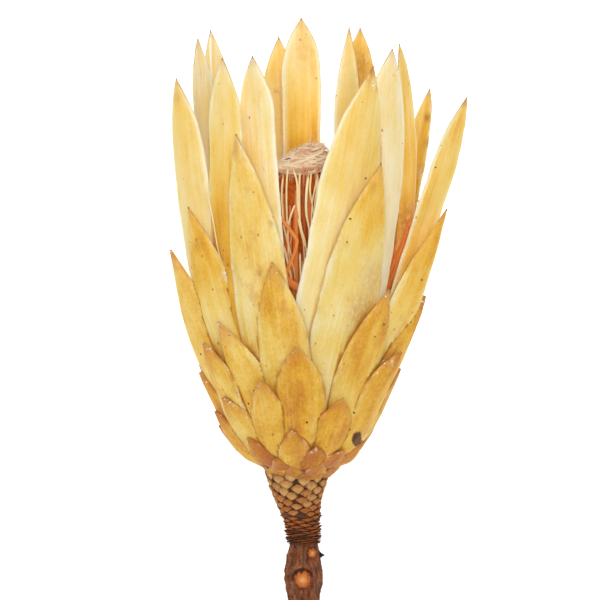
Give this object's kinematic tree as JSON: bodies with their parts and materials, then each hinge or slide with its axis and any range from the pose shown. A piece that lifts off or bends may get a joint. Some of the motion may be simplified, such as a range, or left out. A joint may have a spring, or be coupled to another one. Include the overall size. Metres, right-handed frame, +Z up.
{
  "type": "dried protea flower",
  "caption": "Dried protea flower head on a short cut stem: layered pointed straw bracts form an open cup round a woolly-topped bundle of florets, for dried arrangements and still lifes.",
  "frame": {"origin": "on the surface that the flower lies on, under the middle of its bounding box", "axes": "+Y towards the open end of the flower, whose axis rises about 18 degrees out of the surface, +Z up, +X to the right of the flower seen from above with its open end away from the viewer"},
  "size_m": [0.089, 0.194, 0.0836],
  "materials": {
    "stem": "rough reddish-brown bark with a pale cut end and orange scars",
    "neck": "dry tan scales with near-black gaps, rust brown towards the stem",
    "involucre": "satin straw, ochre outside to cream inside, with brown tips, edges and specks",
    "florets": "dry matt rust brown strips",
    "styles": "smooth satin cream rods",
    "wool": "matt pinkish-fawn wool"
  },
  "bodies": {
    "root": {"stem": "stem", "neck": "neck", "involucre": "involucre", "florets": "florets", "styles": "styles", "wool": "wool"}
  },
  "joints": []
}
